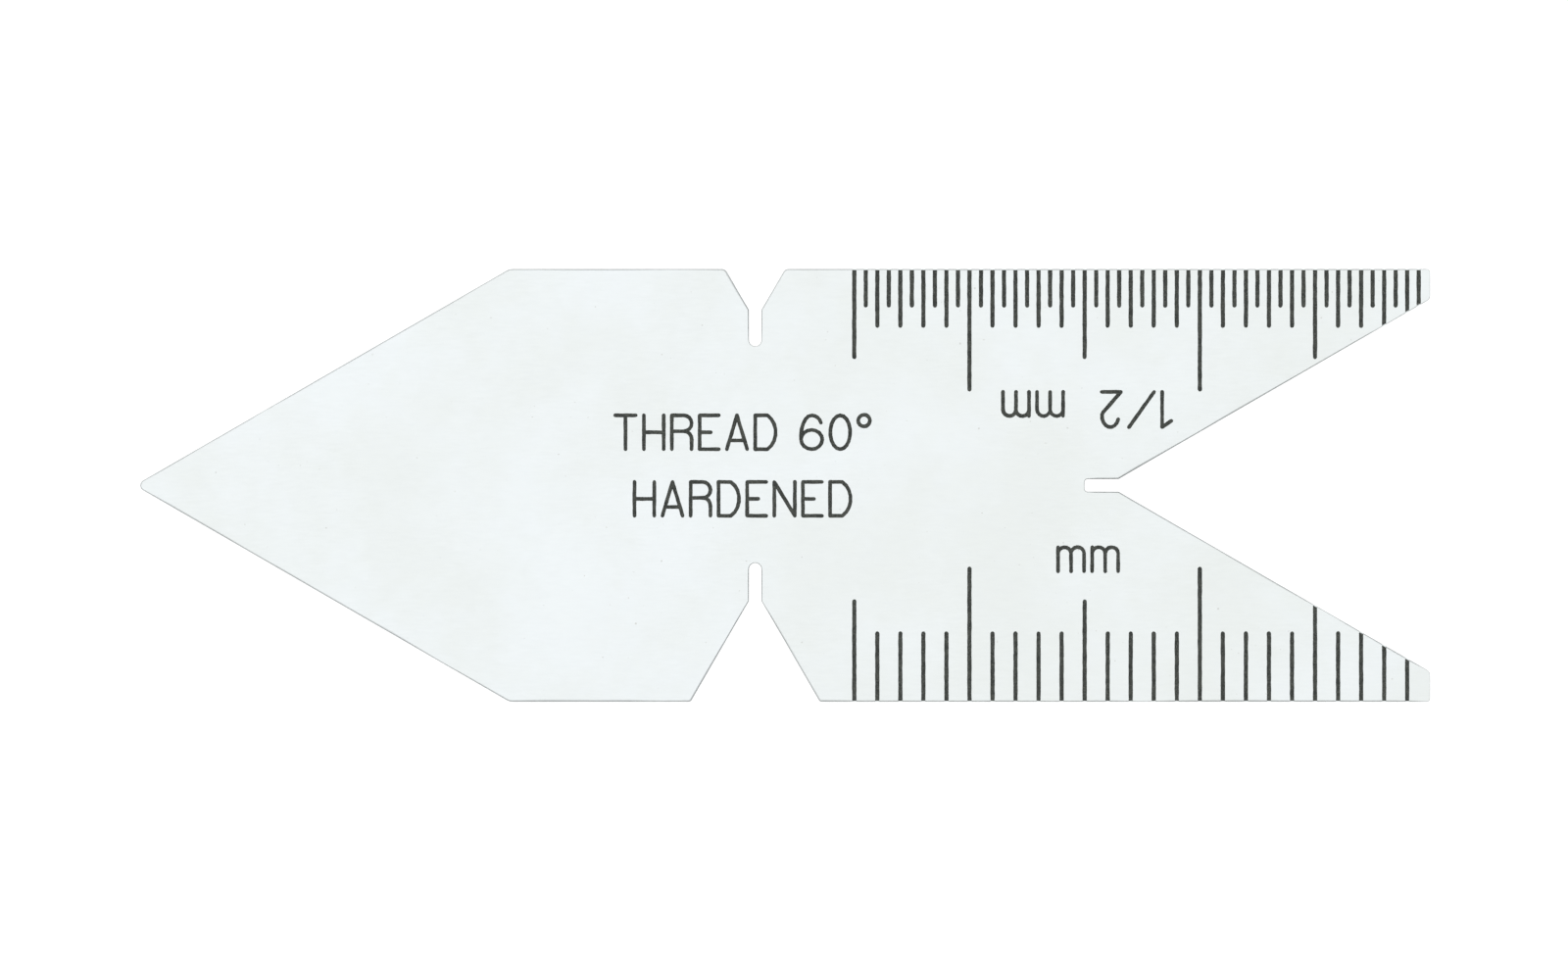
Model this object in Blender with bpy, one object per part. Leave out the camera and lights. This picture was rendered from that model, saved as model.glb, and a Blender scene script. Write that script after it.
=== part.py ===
"""A 60 degree centre gauge: one flat plate of hardened steel with a point at one end,
a fishtail at the other and a sharp notch in each long edge. Two scales, their unit
labels and two lines of lettering are etched into the upper face and filled with black
enamel. The plate lies on its back, with its lower face at z = 0. The point is at -X and
the half-millimetre scale is along the +Y edge."""

import math

import bmesh
import bpy
from mathutils import Matrix, Vector

MM = 0.001

# Plate
LENGTH = 56.0 * MM  # from the point to the tail end
WIDTH = 18.8 * MM
THICKNESS = 1.0 * MM
HALF_ANGLE = math.radians(30)  # half of the 60 degrees of the point and of every notch
POINT_RADIUS = 0.25 * MM
SHOULDER_RADIUS = 0.5 * MM
TAIL_CORNER_RADIUS = 0.15 * MM
ARRIS = 0.05 * MM  # chamfer that breaks the edges of both faces
ARC_STEP = math.radians(20)

# Notches: a 60 degree V down to its sharp apex, and a relief slot that runs past it
SLOT_WIDTH = 0.55 * MM
EDGE_NOTCH_X = -1.3 * MM
SMALL_NOTCH = {"apex": 2.25 * MM, "slot_end": 3.36 * MM, "mouth_radius": 0.25 * MM, "end_radius": 0.275 * MM}
LARGE_NOTCH = {"apex": 4.85 * MM, "slot_end": 6.03 * MM, "mouth_radius": 0.15 * MM, "end_radius": 0.275 * MM}
FISHTAIL = {"apex": 14.0 * MM, "slot_end": 15.0 * MM, "mouth_radius": 0.25 * MM, "end_radius": 0.13 * MM}

# Scales, both counted from the tail end. Each length is that of every so many marks, and
# the first that fits a mark's count is its own.
SCALE_LENGTH = 25 * MM
MARK_WIDTH = 0.17 * MM
MARK_OVERRUN = 0.3 * MM  # how far a mark's stroke runs out past the plate's edge
HALF_MM_MARKS = {
    "step": 0.5 * MM,
    "lengths": ((20, 5.32 * MM), (10, 3.92 * MM), (2, 2.56 * MM), (1, 1.68 * MM)),
}
MM_MARKS = {
    "step": 1.0 * MM,
    "lengths": ((10, 5.87 * MM), (5, 4.45 * MM), (1, 3.06 * MM)),
}

# Lettering: heights and widths are those of the pen's centre line
PEN_WIDTH = 0.15 * MM
CAP_HEIGHT = 1.47 * MM
DIGIT_HEIGHT = 1.53 * MM  # in the half-millimetre scale's label
X_HEIGHT = 1.05 * MM
LETTER_GAP = 0.35 * MM
WORD_GAP = 0.75 * MM
TEXT_X = -1.85 * MM
UPPER_LINE = Vector((TEXT_X, 1.57 * MM))  # the middle of each line's baseline
LOWER_LINE = Vector((TEXT_X, -1.32 * MM))
MM_LABEL = Vector((13.15 * MM, -3.73 * MM))
HALF_MM_LABEL = Vector((10.76 * MM, 4.06 * MM))
FRACTION_LABEL = Vector((15.25 * MM, 4.06 * MM))

# Etched grooves and the enamel in them
GROOVE_DEPTH = 0.08 * MM
ENAMEL_SUNK = 0.015 * MM  # the enamel's surface lies this far under the plate's face
CLEARANCE = 0.004 * MM  # between the enamel and its groove
CUTTER_ABOVE = 0.2 * MM

STEEL = {"name": "tempered_steel", "color": (0.80, 0.82, 0.82), "metallic": 1.0, "roughness": 0.38}
ENAMEL = {"name": "black_enamel", "color": (0.035, 0.040, 0.036), "metallic": 0.0, "roughness": 0.55}


def line(*points):
    """A straight or bent run of points."""
    return [Vector(point) for point in points]


def arc(centre, radii, first, last, steps):
    """Points of an elliptical arc from one angle to another, in degrees."""
    angles = [math.radians(first + (last - first) * i / steps) for i in range(steps + 1)]
    return [Vector((centre[0] + radii[0] * math.cos(a), centre[1] + radii[1] * math.sin(a))) for a in angles]


def ring(centre, radii, steps):
    """A closed loop, as two strokes that meet end to end."""
    return [arc(centre, radii, 90, 270, steps), arc(centre, radii, -90, 90, steps)]


# Each glyph has a width and pen strokes, drawn in a cell one unit wide and one unit high.
# A stroke turns gently: a sharp corner is where two strokes meet.
GLYPHS = {
    "A": {
        "width": 0.88 * MM,
        "strokes": [line((0, 0), (0.5, 1)), line((0.5, 1), (1, 0)), line((0.13, 0.26), (0.87, 0.26))],
    },
    "D": {
        "width": 0.89 * MM,
        "strokes": [
            line((0, 0), (0, 1)),
            line((0, 1), (0.6, 1)),
            arc((0.2, 0.5), (0.8, 0.577), 60, -60, 7),
            line((0.6, 0), (0, 0)),
        ],
    },
    "E": {
        "width": 0.83 * MM,
        "strokes": [
            line((0, 0), (0, 1)),
            line((0, 1), (1, 1)),
            line((0, 0.5), (0.58, 0.5)),
            line((0, 0), (1, 0)),
        ],
    },
    "H": {
        "width": 0.86 * MM,
        "strokes": [line((0, 0), (0, 1)), line((1, 0), (1, 1)), line((0, 0.5), (1, 0.5))],
    },
    "N": {
        "width": 0.89 * MM,
        "strokes": [line((0, 0), (0, 1)), line((0, 1), (1, 0)), line((1, 0), (1, 1))],
    },
    "R": {
        "width": 0.86 * MM,
        "strokes": [
            line((0, 0), (0, 1)),
            line((0, 1)) + arc((0.6, 0.765), (0.4, 0.235), 90, -90, 8),
            line((0.6, 0.53), (0, 0.53)),
            arc((0.66, 0.28), (0.34, 0.25), 90, 0, 4) + line((1, 0)),
        ],
    },
    "T": {
        "width": 0.90 * MM,
        "strokes": [line((0, 1), (1, 1)), line((0.5, 1), (0.5, 0))],
    },
    "6": {
        "width": 0.92 * MM,
        "strokes": [
            arc((0.5, 0.7), (0.46, 0.3), 16, 90, 4),
            arc((0.5, 0.4), (0.5, 0.6), 90, 180, 5) + line((0, 0.285)),
            *ring((0.5, 0.285), (0.5, 0.285), 8),
        ],
    },
    "0": {
        "width": 0.86 * MM,
        "strokes": ring((0.5, 0.5), (0.5, 0.5), 9),
    },
    "°": {
        "width": 0.51 * MM,
        "strokes": ring((0.5, 0.845), (0.5, 0.1735), 8),
    },
    "1": {
        "width": 0.40 * MM,
        "strokes": [line((1, 0), (1, 1)), line((1, 1), (0, 0.82))],
    },
    "/": {
        "width": 1.09 * MM,
        "strokes": [line((0, 0), (1, 1))],
    },
    "2": {
        "width": 0.84 * MM,
        "strokes": [
            line((0, 0), (1, 0)),
            line((0, 0), (0.92, 0.58)) + arc((0.55, 0.7), (0.43, 0.3), -10, 165, 8),
        ],
    },
    "m": {
        "width": 1.13 * MM,
        "strokes": [
            line((0, 0), (0, 1)),
            arc((0.25, 0.74), (0.25, 0.26), 165, 0, 7) + line((0.5, 0)),
            arc((0.75, 0.74), (0.25, 0.26), 165, 0, 7) + line((1, 0)),
        ],
    },
}
SPOKEN = {"°": "degree", "/": "slash"}


# ---------------------------------------------------------------- scene and materials


def clear_scene():
    for old in list(bpy.data.objects):
        bpy.data.objects.remove(old, do_unlink=True)


def make_material(look):
    finish = bpy.data.materials.new(look["name"])
    finish.use_nodes = True
    shader = finish.node_tree.nodes["Principled BSDF"]
    shader.inputs["Base Color"].default_value = (*look["color"], 1.0)
    shader.inputs["Metallic"].default_value = look["metallic"]
    shader.inputs["Roughness"].default_value = look["roughness"]
    return finish


def add_part(name, mesh, finish):
    mesh.materials.append(finish)
    part = bpy.data.objects.new(name, mesh)
    bpy.context.scene.collection.objects.link(part)
    return part


def add_helper(name, mesh, collection):
    """A cutter or a guide, which isn't part of the object."""
    helper = bpy.data.objects.new(name, mesh)
    helper.hide_render = True
    helper.display_type = "WIRE"
    collection.objects.link(helper)
    return helper


def new_collection(name):
    collection = bpy.data.collections.new(name)
    bpy.context.scene.collection.children.link(collection)
    return collection


# ---------------------------------------------------------------- solids and modifiers


def prism_mesh(name, outlines, bottom, top):
    """One upright prism on each counter-clockwise outline, all in one mesh."""
    shape = bmesh.new()
    for outline in outlines:
        floor = [shape.verts.new((point.x, point.y, bottom)) for point in outline]
        roof = [shape.verts.new((point.x, point.y, top)) for point in outline]
        shape.faces.new(floor[::-1])
        shape.faces.new(roof)
        for i in range(len(outline)):
            shape.faces.new((floor[i - 1], floor[i], roof[i], roof[i - 1]))
    mesh = bpy.data.meshes.new(name)
    shape.to_mesh(mesh)
    shape.free()
    return mesh


def break_edges(plate):
    """Chamfer the edges of both faces."""
    bevel = plate.modifiers.new("arris", "BEVEL")
    bevel.width = ARRIS
    bevel.segments = 1
    bevel.limit_method = "ANGLE"
    bevel.angle_limit = math.radians(60)


def trim(part, guide):
    """Keep only what lies inside a guide."""
    cut = part.modifiers.new("trim", "BOOLEAN")
    cut.operation = "INTERSECT"
    cut.solver = "EXACT"
    cut.object = guide


def cut_away(part, cutters):
    """Take away every object of a collection."""
    cut = part.modifiers.new("etch", "BOOLEAN")
    cut.operation = "DIFFERENCE"
    cut.solver = "EXACT"
    cut.operand_type = "COLLECTION"
    cut.collection = cutters


def merge_strokes(part, nothing):
    """Unite the overlapping strokes of one mesh: the collection it takes is empty, so the
    mesh is united with itself only."""
    union = part.modifiers.new("merge_strokes", "BOOLEAN")
    union.operation = "UNION"
    union.solver = "EXACT"
    union.use_self = True
    union.operand_type = "COLLECTION"
    union.collection = nothing


# ---------------------------------------------------------------- outline of the plate


def rounded_corner(before, corner, after, radius):
    """Points of the arc that rounds one corner of an outline."""
    arrive = (corner - before).normalized()
    leave = (after - corner).normalized()
    turn = -arrive.angle_signed(leave)  # positive to the left
    start = corner - arrive * radius * math.tan(abs(turn) / 2)
    left = Vector((-arrive.y, arrive.x))
    centre = start + left * math.copysign(radius, turn)
    steps = max(1, round(abs(turn) / ARC_STEP))
    return [centre + Matrix.Rotation(turn * i / steps, 2) @ (start - centre) for i in range(steps + 1)]


def rounded_outline(corners):
    """A closed outline from (point, radius) pairs. Where two arcs meet, their common point
    is kept once."""
    outline = []
    for i, (corner, radius) in enumerate(corners):
        before = corners[i - 1][0]
        after = corners[(i + 1) % len(corners)][0]
        points = rounded_corner(before, corner, after, radius) if radius else [corner]
        outline += [point for point in points if not outline or (point - outline[-1]).length > 1e-6]
    return outline


def notch_corners(mouth, along, notch):
    """Corners of a notch and its relief slot, centred on the point mouth of an edge that
    runs in the direction along, with the plate to its left."""
    inward = Vector((-along.y, along.x))
    half_mouth = notch["apex"] * math.tan(HALF_ANGLE)
    half_slot = SLOT_WIDTH / 2
    neck = notch["apex"] - half_slot / math.tan(HALF_ANGLE)
    profile = (
        (-half_mouth, 0, notch["mouth_radius"]),
        (-half_slot, neck, 0),
        (-half_slot, notch["slot_end"], notch["end_radius"]),
        (half_slot, notch["slot_end"], notch["end_radius"]),
        (half_slot, neck, 0),
        (half_mouth, 0, notch["mouth_radius"]),
    )
    return [(mouth + along * u + inward * v, radius) for u, v, radius in profile]


def plate_outline():
    """The whole outline, counter-clockwise from the lower shoulder."""
    tail_x = LENGTH / 2
    edge_y = WIDTH / 2
    sharp_point_x = -LENGTH / 2 - POINT_RADIUS * (1 / math.sin(HALF_ANGLE) - 1)
    shoulder_x = sharp_point_x + edge_y / math.tan(HALF_ANGLE)
    return rounded_outline(
        [
            (Vector((shoulder_x, -edge_y)), SHOULDER_RADIUS),
            *notch_corners(Vector((EDGE_NOTCH_X, -edge_y)), Vector((1, 0)), LARGE_NOTCH),
            (Vector((tail_x, -edge_y)), TAIL_CORNER_RADIUS),
            *notch_corners(Vector((tail_x, 0)), Vector((0, 1)), FISHTAIL),
            (Vector((tail_x, edge_y)), TAIL_CORNER_RADIUS),
            *notch_corners(Vector((EDGE_NOTCH_X, edge_y)), Vector((-1, 0)), SMALL_NOTCH),
            (Vector((shoulder_x, edge_y)), SHOULDER_RADIUS),
            (Vector((sharp_point_x, 0)), POINT_RADIUS),
        ]
    )


# ---------------------------------------------------------------- strokes of the pen


def round_end(point, rim):
    """Points of the half circle round the end of a stroke, between rim and its opposite."""
    return [point + Matrix.Rotation(math.radians(angle), 2) @ (rim - point) for angle in (45, 90, 135)]


def stroke_outline(points, width):
    """Counter-clockwise outline of a pen line with round ends."""
    left = []
    right = []
    for i, point in enumerate(points):
        arrive = (point - points[max(i - 1, 0)]).normalized()
        leave = (points[min(i + 1, len(points) - 1)] - point).normalized()
        along = (arrive + leave).normalized()
        reach = width / 2 / along.dot(leave if i == 0 else arrive)
        aside = Vector((-along.y, along.x)) * reach
        left.append(point + aside)
        right.append(point - aside)
    return right + round_end(points[-1], right[-1]) + left[::-1] + round_end(points[0], left[0])


def text_width(text):
    """Width of a line of text between the pen's outermost centre lines."""
    advances = [WORD_GAP if letter == " " else GLYPHS[letter]["width"] + LETTER_GAP for letter in text]
    return sum(advances) - LETTER_GAP


def text_strokes(label, text, middle, height, turned=False):
    """(name, strokes) of each glyph of a line of text, centred on the middle of its
    baseline. Turned text is upside down."""
    facing = -1 if turned else 1
    pen_x = -text_width(text) / 2
    glyphs = []
    for letter in text:
        if letter == " ":
            pen_x += WORD_GAP
            continue
        width = GLYPHS[letter]["width"]
        strokes = [
            [middle + facing * Vector((pen_x + point.x * width, point.y * height)) for point in stroke]
            for stroke in GLYPHS[letter]["strokes"]
        ]
        glyphs.append((f"{label}_{len(glyphs) + 1}_{SPOKEN.get(letter, letter)}", strokes))
        pen_x += width + LETTER_GAP
    return glyphs


def lettering():
    """(name, strokes) of every glyph on the plate."""
    return [
        *text_strokes("upper_line", "THREAD 60°", UPPER_LINE, CAP_HEIGHT),
        *text_strokes("lower_line", "HARDENED", LOWER_LINE, CAP_HEIGHT),
        *text_strokes("mm_label", "mm", MM_LABEL, X_HEIGHT),
        *text_strokes("half_mm_label", "mm", HALF_MM_LABEL, X_HEIGHT, turned=True),
        *text_strokes("fraction_label", "1/2", FRACTION_LABEL, DIGIT_HEIGHT, turned=True),
    ]


def scale_strokes(marks, edge):
    """The stroke of each mark of a scale, from the tail end on. Edge is 1 for the upper
    long edge and -1 for the lower one."""
    strokes = []
    for count in range(1, round(SCALE_LENGTH / marks["step"]) + 1):
        length = next(length for every, length in marks["lengths"] if count % every == 0)
        x = LENGTH / 2 - count * marks["step"]
        outer = Vector((x, edge * (WIDTH / 2 + MARK_OVERRUN)))
        inner = Vector((x, edge * (WIDTH / 2 - length + MARK_WIDTH / 2)))
        strokes.append([outer, inner])
    return strokes


# ---------------------------------------------------------------- grooves and enamel


def groove_cutters(nothing):
    """A cutter for the grooves of both scales, and one for each glyph."""
    cutters = new_collection("groove_cutters")
    floor = THICKNESS - GROOVE_DEPTH
    ceiling = THICKNESS + CUTTER_ABOVE
    marks = scale_strokes(HALF_MM_MARKS, 1) + scale_strokes(MM_MARKS, -1)
    outlines = [stroke_outline(mark, MARK_WIDTH + 2 * CLEARANCE) for mark in marks]
    add_helper("mark_cutter", prism_mesh("mark_cutter", outlines, floor, ceiling), cutters)
    for name, strokes in lettering():
        outlines = [stroke_outline(stroke, PEN_WIDTH + 2 * CLEARANCE) for stroke in strokes]
        cutter = add_helper(f"{name}_cutter", prism_mesh(f"{name}_cutter", outlines, floor, ceiling), cutters)
        merge_strokes(cutter, nothing)
    return cutters


def add_enamel(name, strokes, width, enamel):
    """The enamel in one groove."""
    outlines = [stroke_outline(stroke, width) for stroke in strokes]
    bottom = THICKNESS - GROOVE_DEPTH + CLEARANCE
    top = THICKNESS - ENAMEL_SUNK
    return add_part(name, prism_mesh(name, outlines, bottom, top), enamel)


def main():
    clear_scene()
    steel = make_material(STEEL)
    enamel = make_material(ENAMEL)
    guides = new_collection("guides")
    nothing = new_collection("nothing")
    outline = plate_outline()

    plate = add_part("gauge_plate", prism_mesh("gauge_plate", [outline], 0, THICKNESS), steel)
    break_edges(plate)
    cut_away(plate, groove_cutters(nothing))

    blank = add_helper("plate_blank", prism_mesh("plate_blank", [outline], 0, THICKNESS), guides)
    break_edges(blank)
    for number, mark in enumerate(scale_strokes(MM_MARKS, -1), 1):
        trim(add_enamel(f"mm_mark_{number:02d}", [mark], MARK_WIDTH, enamel), blank)

    for name, strokes in lettering():
        merge_strokes(add_enamel(name, strokes, PEN_WIDTH, enamel), nothing)


main()
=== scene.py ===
"""The looks of a 60 degree centre gauge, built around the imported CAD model.

Every outline is read from the frame. The plate is made again with rounded edges and with
etched grooves whose walls are slightly ragged, and each groove gets its own enamel, with
a dished surface. The half-millimetre marks, whose grooves are in the CAD plate, get
theirs here too."""

import math

import bmesh
import bpy
from mathutils import Matrix, Vector, noise
from mathutils.geometry import intersect_line_line_2d, tessellate_polygon


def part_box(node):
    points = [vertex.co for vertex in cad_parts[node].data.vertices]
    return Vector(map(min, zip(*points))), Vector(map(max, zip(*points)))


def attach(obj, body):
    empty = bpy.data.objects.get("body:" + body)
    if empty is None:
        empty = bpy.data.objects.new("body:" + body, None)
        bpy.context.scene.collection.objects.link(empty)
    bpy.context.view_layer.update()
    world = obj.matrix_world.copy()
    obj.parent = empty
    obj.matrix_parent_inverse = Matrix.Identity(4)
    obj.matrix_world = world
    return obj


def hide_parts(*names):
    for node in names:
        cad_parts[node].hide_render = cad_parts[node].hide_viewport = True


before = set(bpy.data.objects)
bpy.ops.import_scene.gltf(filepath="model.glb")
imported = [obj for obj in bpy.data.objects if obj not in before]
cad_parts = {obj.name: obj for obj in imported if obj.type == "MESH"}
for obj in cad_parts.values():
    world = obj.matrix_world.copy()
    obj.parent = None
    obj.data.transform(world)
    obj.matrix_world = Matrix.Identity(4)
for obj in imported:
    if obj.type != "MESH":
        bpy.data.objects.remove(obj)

MM = 0.001
SAME_PLACE = 1e-7  # corners nearer than this are one point
ON_LINE = 1e-6  # and a point nearer than this to a line is on it
CROWDED = 0.02 * MM  # a ragged wall keeps no two points nearer than this

# Plate
PLATE = "gauge_plate"
EDGE_RADIUS = 0.075 * MM
EDGE_STEPS = 4
EDGE_WEAR = 0.7  # share by which the rounding's width varies along an edge
EDGE_WEAR_LENGTH = 2.5 * MM
EDGE_WEAR_SEED = 121.5
SIDE_BAND = 0.12 * MM  # the sides are divided here, deeper than a groove, to shade evenly
SHELTER = 1.2 * MM  # sides nearer to each other than this are less worn,
SHELTERED_WEAR = 0.28  # down to this share of the rounding
SHELTER_ANGLE = math.radians(60)  # the room beside a side is measured this far to each hand too
TAIL_LENGTH = 1.2 * MM  # sides nearer to the tail's end than this are less worn too,
TAIL_WEAR = 0.3  # down to this share
OUTLINE_STEP = 0.5 * MM

# Grooves and the enamel in them
HALF_MM = 0.5 * MM
GROOVE_STEP = 0.12 * MM  # distance between the points of a groove's wall
RAGGED = 0.012 * MM  # how far a wall strays from its line
RAGGED_LENGTH = 0.22 * MM
RAGGED_SEED = 0.5
GROOVE_WEAR = 0.004 * MM  # how far the walls have worn back
GROOVE_OVERRUN = 0.2 * MM  # how far a cutter runs out past the plate's edge
CUTTER_ABOVE = 0.1 * MM
ENAMEL_SETBACK = 0.055 * MM  # between the plate's edge and the enamel of a mark
ENAMEL_BOND = 0.002 * MM  # how far the enamel keys into the groove's wall
RIM_SUNK = 0.003 * MM  # the enamel's surface lies this far under the face at the wall,
DISH_SUNK = 0.012 * MM  # and this far
DISH_WIDTH = 0.02 * MM  # at this distance from the wall

# Surfaces
SMOOTH_ANGLE = math.radians(28)
LEVEL = 0.9999  # a face is level from this upright part of its normal
STEEL_BLUE = (0.700, 0.734, 0.744)
STEEL_WARM = (0.687, 0.717, 0.707)
WARM_END = (-5.0, 15.0)  # in millimetres along the plate: it turns warmer between these
STEEL_SPECK = (0.560, 0.575, 0.560)
# colour of the sides and the rounding beside them: ground steel, painted darker as painted shade that
# deepens the outline seen from above
GROUND_SIDE_AND_SHADE = (0.500, 0.520, 0.520)
CLOUD = 7.0  # the sizes of the patterns, in millimetres
MOTTLE = 0.9
GRAIN = 0.07
SPECK = 0.16
GROUND_LINE = 0.035
GRAIN_STRETCH = (0.12, 1, 1)
LINE_STRETCH = (0.05, 0.05, 1)
STEEL_BUMP = 0.002 * MM
SIDEWAYS = (0.95, 0.55)  # the upright part of the normal where the side's look starts, and is whole
ENAMEL_DARK = (0.006, 0.011, 0.007)
ENAMEL_LIGHT = (0.078, 0.085, 0.072)
ENAMEL_PATCH = 0.35
ENAMEL_GRAIN = 0.07
ENAMEL_BUMP = 0.01 * MM
FLOOR_COLOUR = (0.30, 0.30, 0.30)
FLOOR_GLOW = 0.95  # the floor glows too, which leaves it white beside the plate

# Studio
FLOOR_SIZE = 8.0
FLOOR_GAP = 0.01 * MM
VIEW_WIDTH = 68.06 * MM  # what the camera sees across, at the plate's upper face
VIEW_MIDDLE = Vector((-0.05 * MM, -0.20 * MM))
LENS = 300.0  # in millimetres: long, because the gauge is seen with no perspective
SKY_STRENGTH = 1.41
SKY = ((0.0, 0.32), (0.50, 0.34), (0.80, 0.75), (0.95, 1.0))  # sine of elevation, brightness
SKY_TILT = Vector((-0.3, 0.3))  # the side that is brighter, and by how much


# ---------------------------------------------------------------- outlines from the frame


def joined_mesh(node):
    """A CAD node's mesh with the corners that its faces share joined."""
    shape = bmesh.new()
    shape.from_mesh(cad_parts[node].data)
    bmesh.ops.remove_doubles(shape, verts=shape.verts, dist=SAME_PLACE)
    return shape


def closed_loops(edges):
    """The closed loops of flat points that some edges make."""
    neighbours = {}
    for edge in edges:
        first, second = edge.verts
        neighbours.setdefault(first, []).append(second)
        neighbours.setdefault(second, []).append(first)
    unvisited = dict.fromkeys(neighbours)
    loops = []
    while unvisited:
        loop = []
        ahead = list(unvisited)[:1]
        while ahead:
            loop.append(ahead[0])
            del unvisited[ahead[0]]
            ahead = [corner for corner in neighbours[loop[-1]] if corner in unvisited]
        loops.append([corner.co.xy for corner in loop])
    return loops


def area(loop):
    """Positive for a counter-clockwise loop."""
    return sum(loop[i - 1].cross(point) for i, point in enumerate(loop)) / 2


def as_outer_and_holes(loops):
    """The loops of one flat region: the outer one counter-clockwise and first, then its
    holes clockwise, so that the region is to the left of every one."""
    ordered = sorted(loops, key=lambda loop: -abs(area(loop)))
    return [loop[::-1] if (area(loop) > 0) != (i == 0) else loop for i, loop in enumerate(ordered)]


def plate_outline(shape):
    """The line where the plate's sides meet its lower chamfer."""
    rim = min(corner.co.z for corner in shape.verts if corner.co.z > ON_LINE)
    on_rim = {corner for corner in shape.verts if abs(corner.co.z - rim) < ON_LINE}
    edges = [edge for edge in shape.edges if on_rim.issuperset(edge.verts)]
    return as_outer_and_holes(closed_loops(edges))[0]


def touching_faces(start, allowed):
    """The allowed faces that can be reached from one of them across shared edges."""
    reached = {start}
    faces = [start]
    for face in faces:  # the list grows while it is read
        for edge in face.edges:
            for other in edge.link_faces:
                if other in allowed and other not in reached:
                    reached.add(other)
                    faces.append(other)
    return faces


def groove_floors(shape):
    """(height, the flat region of each groove's floor)."""
    heights = {face: face.calc_center_median().z for face in shape.faces if face.normal.z > LEVEL}
    height = min(heights.values())
    unvisited = dict.fromkeys(face for face, z in heights.items() if abs(z - height) < ON_LINE)
    regions = []
    while unvisited:
        region = touching_faces(next(iter(unvisited)), unvisited)
        rim = [
            edge for face in region for edge in face.edges
            if sum(other in unvisited for other in edge.link_faces) == 1
        ]
        regions.append(as_outer_and_holes(closed_loops(rim)))
        for face in region:
            del unvisited[face]
    return height, regions


# ---------------------------------------------------------------- lines


def divided(loop, step):
    """The loop with its long edges divided."""
    points = []
    for i, point in enumerate(loop):
        run = loop[(i + 1) % len(loop)] - point
        parts = max(1, round(run.length / step))
        points += [point + run * part / parts for part in range(parts)]
    return points


def mitres(loop):
    """For each point, how far it moves when both its edges move out of the region by one."""
    moves = []
    for i, point in enumerate(loop):
        arrive = (point - loop[i - 1]).normalized()
        leave = (loop[(i + 1) % len(loop)] - point).normalized()
        moves.append(Vector((arrive.y + leave.y, -arrive.x - leave.x)) / (1 + arrive.dot(leave)))
    return moves


def pushed(loop, distances):
    """The loop with its edges moved out of the region, by each point's distance."""
    return [point + move * distance for point, move, distance in zip(loop, mitres(loop), distances)]


def room_beside(loop, i, outward):
    """How far the loop's other sides are from a point, straight outwards and to either side
    of that, up to SHELTER."""
    rooms = [SHELTER]
    start = loop[i] + outward * ON_LINE
    for turn in (-SHELTER_ANGLE, 0, SHELTER_ANGLE):
        end = loop[i] + Matrix.Rotation(turn, 2) @ outward * SHELTER
        hits = [intersect_line_line_2d(start, end, loop[j - 1], point) for j, point in enumerate(loop)]
        rooms += [(hit - start).length for hit in hits if hit]
    return min(rooms)


def wander(point, length, seed):
    """Smooth noise between -1 and 1 that changes over a length."""
    return noise.noise(Vector((point.x / length, point.y / length, seed)))


def nearest_side(point, outline):
    """(how far inside the outline the point is, the outward direction of the side there).
    A point that isn't beside any of the sides is deep inside."""
    sides = []
    for i, corner in enumerate(outline):
        run = corner - outline[i - 1]
        along = run.normalized()
        from_start = point - outline[i - 1]
        if -ON_LINE < along.dot(from_start) < run.length + ON_LINE:
            sides.append((along.cross(from_start), Vector((along.y, -along.x))))
    return min(sides, key=lambda side: abs(side[0]), default=(math.inf, None))


def without_crowding(loop):
    """The loop without the points that are nearly at the one before."""
    return [point for i, point in enumerate(loop) if (point - loop[i - 1]).length > CROWDED]


def ragged_region(region, outline, widening, end_shift):
    """A groove's region with ragged sides, made wider. An end on the plate's edge keeps its
    line, which moves out of the plate, or back into it if end_shift is negative."""
    loops = []
    for loop in region:
        points = divided(loop, GROOVE_STEP)
        strays = [RAGGED * wander(point, RAGGED_LENGTH, RAGGED_SEED) for point in points]
        moved = pushed(points, [widening + stray for stray in strays])
        for i, point in enumerate(points):
            depth, outward = nearest_side(point, outline)
            if depth < max(ON_LINE, -end_shift):
                moved[i] = point + Vector((0, (depth + end_shift) / outward.y))
        loops.append(without_crowding(moved))
    return loops


# ---------------------------------------------------------------- solids


def add_corners(shape, loop, height):
    return [shape.verts.new((point.x, point.y, height)) for point in loop]


def bridge(shape, lower, upper):
    """Faces between two rings of corners, of which each pair has one place in its loop."""
    for i in range(len(lower)):
        shape.faces.new((lower[i - 1], lower[i], upper[i], upper[i - 1]))


def fill(shape, region, rings):
    """Triangles that cover a region, on the rings of corners made for its loops."""
    corners = [corner for ring in rings for corner in ring]
    loops = [[Vector((point.x / MM, point.y / MM, 0)) for point in loop] for loop in region]
    for triangle in tessellate_polygon(loops):
        shape.faces.new([corners[i] for i in triangle])


def finished_mesh(shape, name):
    bmesh.ops.recalc_face_normals(shape, faces=shape.faces)
    mesh = bpy.data.meshes.new(name)
    shape.to_mesh(mesh)
    shape.free()
    return mesh


def add_object(name, mesh):
    thing = bpy.data.objects.new(name, mesh)
    bpy.context.scene.collection.objects.link(thing)
    return thing


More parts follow.
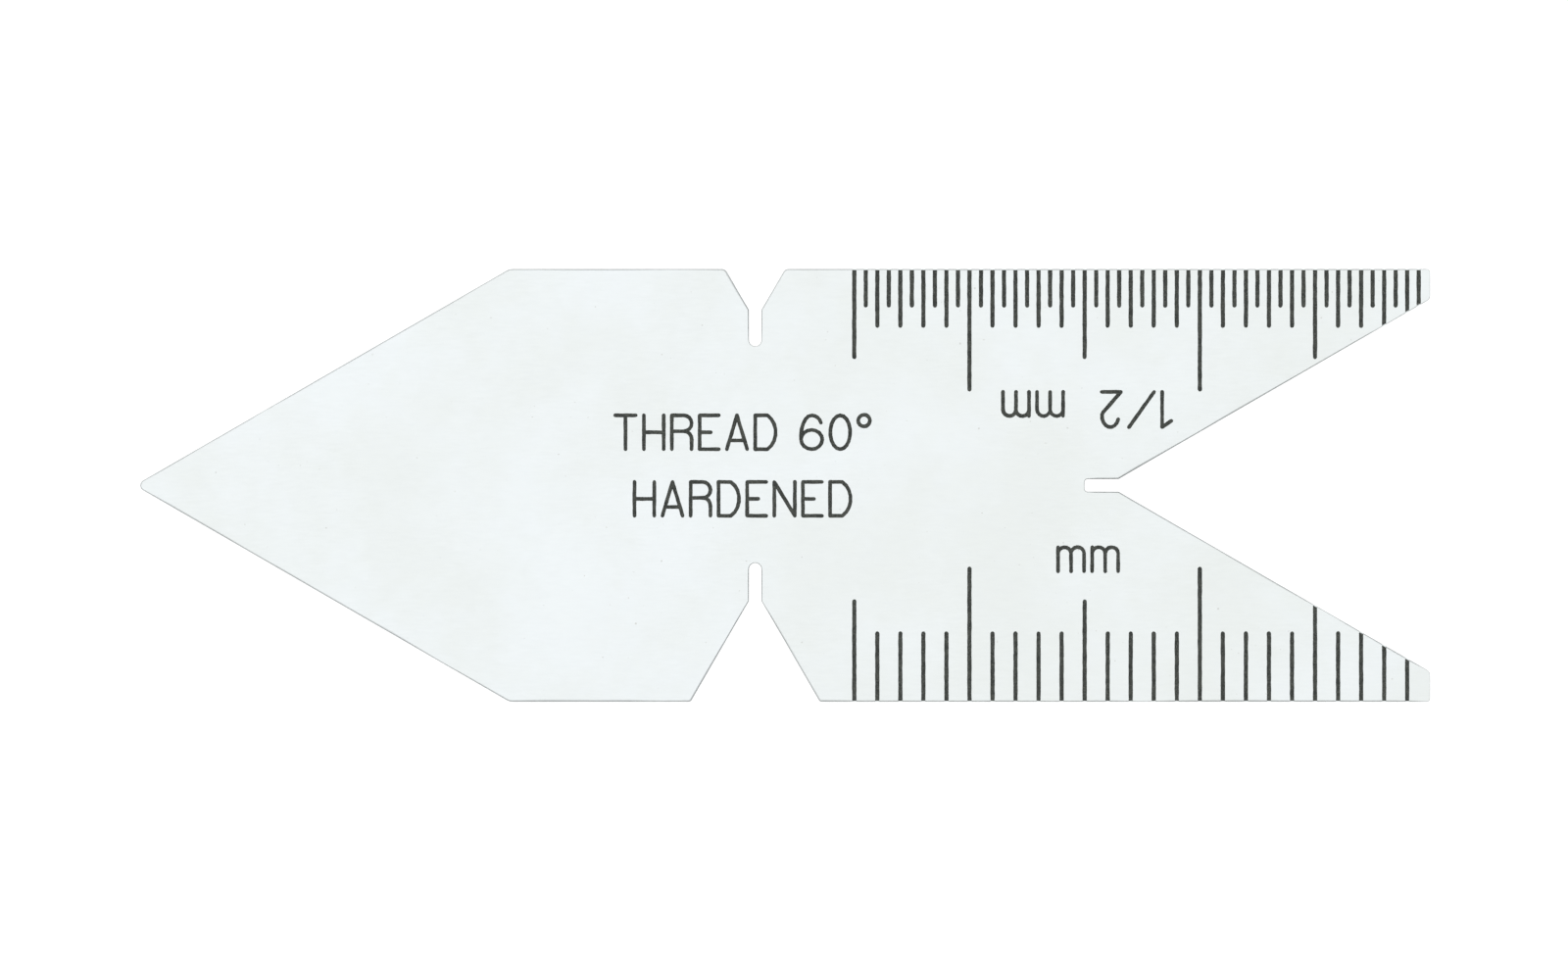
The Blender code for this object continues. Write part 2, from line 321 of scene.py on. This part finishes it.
def edge_widths(line):
    """How wide the rounding is at each point: worn unevenly, and less in a narrow slot and
    at the tail."""
    end = max(point.x for point in line)
    widths = []
    for i, (point, outward) in enumerate(zip(line, mitres(line))):
        exposed = SHELTERED_WEAR + (1 - SHELTERED_WEAR) * room_beside(line, i, outward) / SHELTER
        exposed *= TAIL_WEAR + (1 - TAIL_WEAR) * min(1, (end - point.x) / TAIL_LENGTH)
        uneven = 1 + EDGE_WEAR * wander(point, EDGE_WEAR_LENGTH, EDGE_WEAR_SEED)
        widths.append(EDGE_RADIUS * exposed * uneven)
    return widths


def blank_mesh(outline, thickness):
    """The plate with rounded edges, before it is etched."""
    line = divided(outline, OUTLINE_STEP)
    widths = edge_widths(line)
    quarter = [math.pi / 2 * step / EDGE_STEPS for step in range(EDGE_STEPS + 1)]
    lower = [(1 - math.sin(angle), EDGE_RADIUS * (1 - math.cos(angle))) for angle in quarter]
    upper = [(inset, thickness - height) for inset, height in reversed(lower)]
    shape = bmesh.new()
    rings = [
        add_corners(shape, pushed(line, [-inset * width for width in widths]), height)
        for inset, height in [*lower, (0, SIDE_BAND), (0, thickness - SIDE_BAND), *upper]
    ]
    for lower_ring, upper_ring in zip(rings, rings[1:]):
        bridge(shape, lower_ring, upper_ring)
    shape.faces.new(rings[0][::-1])
    shape.faces.new(rings[-1])
    return finished_mesh(shape, "blank")


def cutter_mesh(regions, floor, ceiling):
    """An upright prism on each region."""
    shape = bmesh.new()
    for region in regions:
        lower = [add_corners(shape, loop, floor) for loop in region]
        upper = [add_corners(shape, loop, ceiling) for loop in region]
        for lower_ring, upper_ring in zip(lower, upper):
            bridge(shape, lower_ring, upper_ring)
        fill(shape, region, lower)
        fill(shape, region, upper)
    return finished_mesh(shape, "cutter")


def enamel_mesh(name, region, floor, face):
    """Enamel that fills a groove from its floor, with its surface dished under the face."""
    shape = bmesh.new()
    dish = [pushed(loop, [-DISH_WIDTH] * len(loop)) for loop in region]
    rings = [
        [add_corners(shape, loop, height) for loop in loops]
        for loops, height in ((region, floor), (region, face - RIM_SUNK), (dish, face - DISH_SUNK))
    ]
    for lower_rings, upper_rings in zip(rings, rings[1:]):
        for lower_ring, upper_ring in zip(lower_rings, upper_rings):
            bridge(shape, lower_ring, upper_ring)
    fill(shape, region, rings[0])
    fill(shape, dish, rings[-1])
    return finished_mesh(shape, name)


def shade(mesh):
    """Smooth shading with sharp edges. Level faces stay flat, so that the rounding beside
    them doesn't bend their shading."""
    mesh.set_sharp_from_angle(angle=SMOOTH_ANGLE)
    for face in mesh.polygons:
        face.use_smooth = abs(face.normal.z) < LEVEL


def without_spare_corners(mesh):
    """The mesh without corners midway along a straight edge, which the cutting leaves, and
    which would make triangles of no area."""
    shape = bmesh.new()
    shape.from_mesh(mesh)
    bmesh.ops.remove_doubles(shape, verts=shape.verts, dist=SAME_PLACE)
    spare = [corner for corner in shape.verts if len(corner.link_edges) == 2]
    bmesh.ops.dissolve_verts(shape, verts=spare)
    return finished_mesh(shape, "plate")


def etched(blank, cutter):
    """The blank's mesh with the cutter taken away."""
    cut = blank.modifiers.new("etch", "BOOLEAN")
    cut.operation = "DIFFERENCE"
    cut.solver = "EXACT"
    cut.object = cutter
    graph = bpy.context.evaluated_depsgraph_get()
    mesh = bpy.data.meshes.new_from_object(blank.evaluated_get(graph))
    for helper in (blank, cutter):
        bpy.data.objects.remove(helper)
    return without_spare_corners(mesh)


# ---------------------------------------------------------------- materials


def new_material(name):
    """(material, its node tree, its shader)."""
    material = bpy.data.materials.new(name)
    material.use_nodes = True
    return material, material.node_tree, material.node_tree.nodes["Principled BSDF"]


def add_node(tree, kind, inputs, **settings):
    """A node with its settings, and with each input linked or given a value."""
    node = tree.nodes.new(kind)
    for setting, value in settings.items():
        setattr(node, setting, value)
    for socket, value in inputs.items():
        if isinstance(value, bpy.types.NodeSocket):
            tree.links.new(value, node.inputs[socket])
        else:
            node.inputs[socket].default_value = value
    return node


def millimetres(tree, stretch=(1, 1, 1), shift=(0, 0, 0)):
    """The piece's coordinates in millimetres, for a pattern's Vector."""
    place = add_node(tree, "ShaderNodeTexCoord", {}).outputs["Object"]
    inputs = {"Vector": place, "Scale": [share / MM for share in stretch], "Location": shift}
    return add_node(tree, "ShaderNodeMapping", inputs).outputs[0]


def pattern(tree, where, size, detail=2.0, roughness=0.5):
    """Noise whose features measure size, in millimetres."""
    inputs = {"Vector": where, "Scale": 1 / size, "Detail": detail, "Roughness": roughness}
    return add_node(tree, "ShaderNodeTexNoise", inputs).outputs["Fac"]


def spread(tree, value, low, high, to_low=0.0, to_high=1.0):
    """A value's range from low to high, mapped to another range and held inside it."""
    inputs = {"Value": value, "From Min": low, "From Max": high, "To Min": to_low, "To Max": to_high}
    return add_node(tree, "ShaderNodeMapRange", inputs).outputs[0]


def blend_colours(tree, share, first, second):
    """The colour between two, each a socket or three numbers."""
    node = add_node(tree, "ShaderNodeMix", {"Factor": share}, data_type="RGBA")
    first_socket, second_socket, result = node.inputs[6], node.inputs[7], node.outputs[2]
    for socket, colour in ((first_socket, first), (second_socket, second)):
        if isinstance(colour, bpy.types.NodeSocket):
            tree.links.new(colour, socket)
        else:
            socket.default_value = (*colour, 1.0)
    return result


def blend_numbers(tree, share, first, second):
    return add_node(tree, "ShaderNodeMix", {"Factor": share, 2: first, 3: second}).outputs[0]


def mathematics(tree, operation, first, second, third=0.0):
    inputs = {0: first, 1: second, 2: third}
    return add_node(tree, "ShaderNodeMath", inputs, operation=operation).outputs[0]


def add_bump(tree, shader, height, strength, distance):
    bump = add_node(tree, "ShaderNodeBump", {"Height": height, "Strength": strength, "Distance": distance})
    tree.links.new(bump.outputs[0], shader.inputs["Normal"])


def sideways(tree):
    """0 on level steel and 1 on the plate's sides."""
    geometry = add_node(tree, "ShaderNodeNewGeometry", {})
    normal = add_node(tree, "ShaderNodeSeparateXYZ", {0: geometry.outputs["Normal"]})
    return spread(tree, mathematics(tree, "ABSOLUTE", normal.outputs["Z"], 0.0), *SIDEWAYS)


def face_colour(tree, everywhere, clouds):
    """Blue and warm clouds with a fine mottle, warmer towards the tail, and a few specks."""
    mottle = pattern(tree, millimetres(tree, shift=(40, 0, 0)), MOTTLE, detail=4.0)
    along = add_node(tree, "ShaderNodeSeparateXYZ", {0: everywhere}).outputs["X"]
    cloudy = spread(tree, clouds, 0.40, 0.60, 0.0, 0.7)
    tint = mathematics(tree, "ADD", cloudy, spread(tree, mottle, 0.35, 0.65, 0.0, 0.2))
    tint = mathematics(tree, "ADD", tint, spread(tree, along, *WARM_END, -0.1, 0.22))
    specks = spread(tree, pattern(tree, everywhere, SPECK, detail=0.0), 0.84, 0.88)
    return blend_colours(tree, specks, blend_colours(tree, tint, STEEL_BLUE, STEEL_WARM), STEEL_SPECK)


def make_steel():
    """Hardened steel with a satin ground face: faint clouds from the heat treatment, fine
    lengthwise grain, a few specks, and ground sides with lines along them, painted darker
    as painted shade that deepens the plate's outline."""
    material, tree, shader = new_material("tempered_steel")
    everywhere = millimetres(tree)
    clouds = pattern(tree, everywhere, CLOUD, detail=6.0, roughness=0.62)
    grain = pattern(tree, millimetres(tree, stretch=GRAIN_STRETCH), GRAIN, detail=3.0)
    lines = pattern(tree, millimetres(tree, stretch=LINE_STRETCH), GROUND_LINE, detail=3.0)
    side = sideways(tree)

    # the sides and rounded edges get a darker colour: painted shade along the outline
    colour = blend_colours(tree, side, face_colour(tree, everywhere, clouds), GROUND_SIDE_AND_SHADE)
    tree.links.new(colour, shader.inputs["Base Color"])

    cloudy = spread(tree, clouds, 0.35, 0.65, 0.37, 0.40)
    face_roughness = mathematics(tree, "ADD", cloudy, spread(tree, grain, 0.3, 0.7, 0.0, 0.04))
    side_roughness = spread(tree, lines, 0.3, 0.7, 0.26, 0.42)
    roughness = blend_numbers(tree, side, face_roughness, side_roughness)
    tree.links.new(roughness, shader.inputs["Roughness"])
    shader.inputs["Metallic"].default_value = 1.0
    add_bump(tree, shader, blend_numbers(tree, side, grain, lines), 0.5, STEEL_BUMP)
    return material


def make_enamel():
    """Black enamel rubbed into the grooves: matt, with patches and lighter grains."""
    material, tree, shader = new_material("black_enamel")
    patches = pattern(tree, millimetres(tree), ENAMEL_PATCH, detail=4.0, roughness=0.65)
    grains = pattern(tree, millimetres(tree, shift=(0, 30, 0)), ENAMEL_GRAIN, detail=1.0)
    light_patches = spread(tree, patches, 0.40, 0.62, 0.0, 0.55)
    share = mathematics(tree, "ADD", light_patches, spread(tree, grains, 0.55, 0.70))
    tree.links.new(blend_colours(tree, share, ENAMEL_DARK, ENAMEL_LIGHT), shader.inputs["Base Color"])
    tree.links.new(spread(tree, patches, 0.3, 0.7, 0.48, 0.66), shader.inputs["Roughness"])
    add_bump(tree, shader, patches, 0.4, ENAMEL_BUMP)
    return material


# ---------------------------------------------------------------- pieces


def nearest_node(region, nodes):
    """The CAD node whose box has the same middle as the region, or None."""
    xs = [point.x for point in region[0]]
    ys = [point.y for point in region[0]]
    middle = Vector((min(xs) + max(xs), min(ys) + max(ys))) / 2
    for node in nodes:
        low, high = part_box(node)
        if ((low + high).xy / 2 - middle).length < GROOVE_STEP / 2:
            return node
    return None


def add_piece(name, mesh, material, node):
    """A piece of the gauge, which stands for a CAD node if it has one."""
    mesh.name = name
    mesh.materials.clear()
    mesh.materials.append(material)
    piece = add_object(name, mesh)
    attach(piece, "root")
    if node:
        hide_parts(node)
    return piece


def build_gauge():
    steel = make_steel()
    enamel = make_enamel()
    cad_plate = joined_mesh(PLATE)
    outline = plate_outline(cad_plate)
    floor, regions = groove_floors(cad_plate)
    cad_plate.free()
    low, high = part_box(PLATE)
    face = high.z

    cut_regions = [ragged_region(region, outline, GROOVE_WEAR, GROOVE_OVERRUN) for region in regions]
    blank = add_object("blank", blank_mesh(outline, face - low.z))
    cutter = add_object("cutter", cutter_mesh(cut_regions, floor, face + CUTTER_ABOVE))
    plate_mesh = etched(blank, cutter)
    shade(plate_mesh)
    add_piece("gauge_plate_etched", plate_mesh, steel, PLATE)

    enamel_nodes = [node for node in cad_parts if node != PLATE]
    for region in regions:
        node = nearest_node(region, enamel_nodes)
        name = node or f"half_mm_mark_{round((high.x - region[0][0].x) / HALF_MM):02d}"
        filled = ragged_region(region, outline, GROOVE_WEAR + ENAMEL_BOND, -ENAMEL_SETBACK)
        mesh = enamel_mesh(name, filled, floor, face)
        shade(mesh)
        add_piece(f"{name}_enamel", mesh, enamel, node)


# ---------------------------------------------------------------- studio


def build_floor():
    material, _, shader = new_material("floor")
    shader.inputs["Base Color"].default_value = (*FLOOR_COLOUR, 1.0)
    shader.inputs["Roughness"].default_value = 1.0
    shader.inputs["Specular IOR Level"].default_value = 0.0
    shader.inputs["Emission Color"].default_value = (1.0, 1.0, 1.0, 1.0)
    shader.inputs["Emission Strength"].default_value = FLOOR_GLOW
    shape = bmesh.new()
    bmesh.ops.create_grid(shape, x_segments=1, y_segments=1, size=FLOOR_SIZE / 2)
    floor = add_object("floor", finished_mesh(shape, "floor"))
    floor.location.z = -FLOOR_GAP
    floor.data.materials.append(material)


def build_sky():
    """Soft light from above that fades towards the horizon, a little brighter on one side."""
    world = bpy.data.worlds.new("studio")
    world.use_nodes = True
    bpy.context.scene.world = world
    tree = world.node_tree
    direction = add_node(tree, "ShaderNodeTexCoord", {}).outputs["Generated"]
    parts = add_node(tree, "ShaderNodeSeparateXYZ", {0: direction})
    ramp = add_node(tree, "ShaderNodeValToRGB", {"Fac": parts.outputs["Z"]})
    ramp.color_ramp.interpolation = "EASE"
    stops = ramp.color_ramp.elements
    while len(stops) < len(SKY):
        stops.new(0.5)
    for stop, (position, brightness) in zip(stops, SKY):
        stop.position = position
        stop.color = (brightness, brightness, brightness, 1.0)
    tilt = mathematics(tree, "MULTIPLY_ADD", parts.outputs["X"], SKY_TILT.x, 1.0)
    tilt = mathematics(tree, "MULTIPLY_ADD", parts.outputs["Y"], SKY_TILT.y, tilt)
    strength = mathematics(tree, "MULTIPLY", tilt, SKY_STRENGTH)
    background = tree.nodes["Background"]
    tree.links.new(ramp.outputs["Color"], background.inputs["Color"])
    tree.links.new(strength, background.inputs["Strength"])


def build_camera(face):
    """A camera straight above the upper face."""
    camera = bpy.data.objects.new("camera", bpy.data.cameras.new("camera"))
    bpy.context.scene.collection.objects.link(camera)
    camera.data.lens = LENS
    height = VIEW_WIDTH * LENS / camera.data.sensor_width
    camera.location = (*VIEW_MIDDLE, face + height)
    camera.data.clip_start = height / 10
    camera.data.clip_end = height * 10
    bpy.context.scene.camera = camera


def main():
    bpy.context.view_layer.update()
    scene = bpy.context.scene
    scene.view_settings.view_transform = "Standard"
    build_camera(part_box(PLATE)[1].z)
    build_floor()
    build_sky()
    build_gauge()


main()
